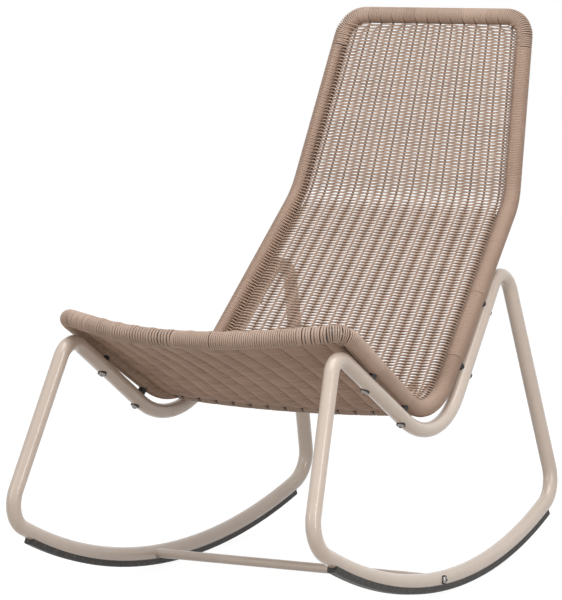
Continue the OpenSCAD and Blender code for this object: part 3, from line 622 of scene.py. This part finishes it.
# Woven seat
# The same weave between the crossbar and the front bar, with a dark cord of painted shade along
# each edge.
# Its wefts lie close, so that from below each warp shows as a broad rounded rib under
# them. Rows near the front follow the bar's bow.
seat_weft_thick, seat_weft_wide, seat_weft_slim = 0.0028, 0.0027, 0.0
seat_marks, seat_raised_marks = 40, 3


def front_depth(x):
    """How far the front bar bows ahead of its corners at x."""
    if abs(x) > front_arc_half:
        return (front_half - abs(x)) * tan(front_turn)
    return front_sag - front_arc_r + sqrt(front_arc_r ** 2 - x * x)


def front_slope(x):
    """How steeply that bow grows at x."""
    if abs(x) > front_arc_half:
        return -tan(front_turn) if x > 0 else tan(front_turn)
    return -tan(asin(x / front_arc_r))


seat_length = sheet_start - rail_start
seat_bow = front_depth(0.0)
seat_rows = round((seat_length + seat_bow / 2) / pitch)


def forwardness(centre):
    """Share of the seat's length, from the crossbar to the front corners."""
    return (centre.y - crossbar_end.y) / (rail_front.y - crossbar_end.y)


def seat_point(centre, x, rail_x):
    """Point of the seat, which hangs like the crossbar at its rear and bows at its front."""
    near = forwardness(centre)
    sag = crossbar_dip * (1 - near) * max(0.0, 1 - (x / rail_x) ** 2)
    return Vector((x, centre.y, centre.z - sag)) + front_dir * front_depth(x) * near ** 2


def seat_weft(reach, over):
    """Route of the seat's weft at that place along the frame."""
    centre, way = rail_at(reach)
    near = forwardness(centre)
    rail_x = centre.x - corner_cut(reach - rail_start - wrap_inset, corner_r - wrap_r)

    def place(x):
        across = sideways + front_dir * front_slope(x) * near ** 2
        onward = front_dir * (2 * near * front_depth(x) / seat_length) - way
        return seat_point(centre, x, rail_x), across.cross(onward).normalized()

    return weft(place, rail_x, over, seat_weft_slim)


def seat_warp(place):
    """Route of a warp of the seat, like those of the back."""
    route = []
    for i in range(seat_marks + 1):
        share = i / seat_marks
        centre, way = rail_at(sheet_start - seat_length * share)
        up = sideways.cross(-way).normalized()
        point = seat_point(centre, place(centre.x - wrap_r, share), centre.x)
        raised = crossbar_r * max(0.0, 1 - i / seat_raised_marks)
        route.append((point + up * raised, up, 1.0))
    return route


seat_wefts = []
for row in range(seat_rows):
    done = (row + 0.5) / seat_rows * (seat_length + seat_bow / 2)
    share = (sqrt(seat_length ** 2 + 2 * seat_bow * done) - seat_length) / seat_bow
    reach = sheet_start - seat_length * share
    if rail_start + wrap_inset <= reach <= sheet_start - crossbar_clear:
        seat_wefts.append(seat_weft(reach, 1 if row % 2 else -1))
strands("seat_wefts", seat_wefts, seat_weft_thick, seat_weft_wide, weave_coat,
        ["seat_weave"])
strands("seat_warps", [seat_warp(warp_place(n)) for n in range(warp_count)],
        warp_thick, warp_wide, warp_shaded_coat, ["seat_weave"])
strands("seat_edge_cords", [seat_warp(edge_place(side, False)) for side in (-1, 1)],
        edge_thick, edge_wide, edge_shade_coat, ["seat_weave"])


# Floor, light and camera
# A pale studio floor and a white surround, which only the camera and reflections see
# at full white. A broad softbox hangs overhead, one stands at the right and a weak one
# in front. The camera stands where the photographer's did.
floor_half = 40
floor_mesh = bpy.data.meshes.new("floor")
floor_mesh.from_pydata([(-floor_half, -floor_half, 0), (floor_half, -floor_half, 0),
                        (floor_half, floor_half, 0), (-floor_half, floor_half, 0)],
                       [], [(0, 1, 2, 3)])
floor = bpy.data.objects.new("floor", floor_mesh)
bpy.context.collection.objects.link(floor)


def seen(finish):
    """1 for rays of the camera, of reflections and through glass."""
    camera, glossy, through = [finish.node("ShaderNodeLightPath", {}, {}, out=f"Is {name} Ray")
                               for name in ("Camera", "Glossy", "Transmission")]
    return finish.node("ShaderNodeMath", {"operation": "ADD", "use_clamp": True},
                       {0: camera + glossy, 1: through})


paper = Finish("floor_paper")
lit_paper = Value(paper, paper.shader.outputs[0])
paper.surface(Base_Color=(0.42, 0.37, 0.33, 1.0), Roughness=0.9)
glow = paper.node("ShaderNodeEmission", {}, {"Color": (1, 1, 1, 1), "Strength": 0.93})
shaded = paper.node("ShaderNodeBsdfDiffuse", {}, {"Color": (0.2, 0.2, 0.2, 1.0)})
white = paper.node("ShaderNodeAddShader", {}, {0: glow, 1: shaded})
both = paper.node("ShaderNodeMixShader", {}, {0: seen(paper), 1: lit_paper, 2: white})
paper.feed(paper.tree.nodes["Material Output"].inputs["Surface"], both)
floor_mesh.materials.append(paper.material)

sky = Finish("surround", bpy.data.worlds, "Background")
sky.surface(Color=(1, 1, 1, 1), Strength=sky.spread(seen(sky), 0.0, 1.0, 0.34, 1.0))
bpy.context.scene.world = sky.material

lit_point = Vector((0, 0, 0.4))
for name, place, size, power in (("overhead", (0.7, -0.6, 3.2), (2.6, 2.6), 62),
                                 ("right", (3.4, -1.6, 1.5), (0.6, 2.4), 38),
                                 ("front", (-1.6, -4.2, 1.8), (0.8, 2.4), 30)):
    lamp = bpy.data.lights.new(name, "AREA")
    lamp.shape, lamp.size, lamp.size_y, lamp.energy = "RECTANGLE", *size, power
    stand = bpy.data.objects.new(name, lamp)
    stand.location = place
    stand.rotation_euler = (lit_point - Vector(place)).to_track_quat("-Z", "Y").to_euler()
    bpy.context.collection.objects.link(stand)

camera_turn, camera_drop = radians(33.1507), radians(4.8769)
camera_place = Vector((4.0728, -6.28983, 0.166364))
focal_pixels, photo_width, sensor_width = 4473.51, 562, 36
ahead = Vector((-sin(camera_turn) * cos(camera_drop), cos(camera_turn) * cos(camera_drop),
                -sin(camera_drop)))
right = Vector((cos(camera_turn), sin(camera_turn), 0))
aim = Matrix((right, right.cross(ahead), -ahead)).transposed().to_4x4()
lens = bpy.data.cameras.new("camera")
lens.sensor_fit, lens.sensor_width = "HORIZONTAL", sensor_width
lens.lens = focal_pixels * sensor_width / photo_width
camera = bpy.data.objects.new("camera", lens)
camera.matrix_world = at_rest @ Matrix.Translation(camera_place) @ aim
bpy.context.collection.objects.link(camera)
bpy.context.scene.camera = camera
bpy.context.scene.view_settings.view_transform = "Standard"
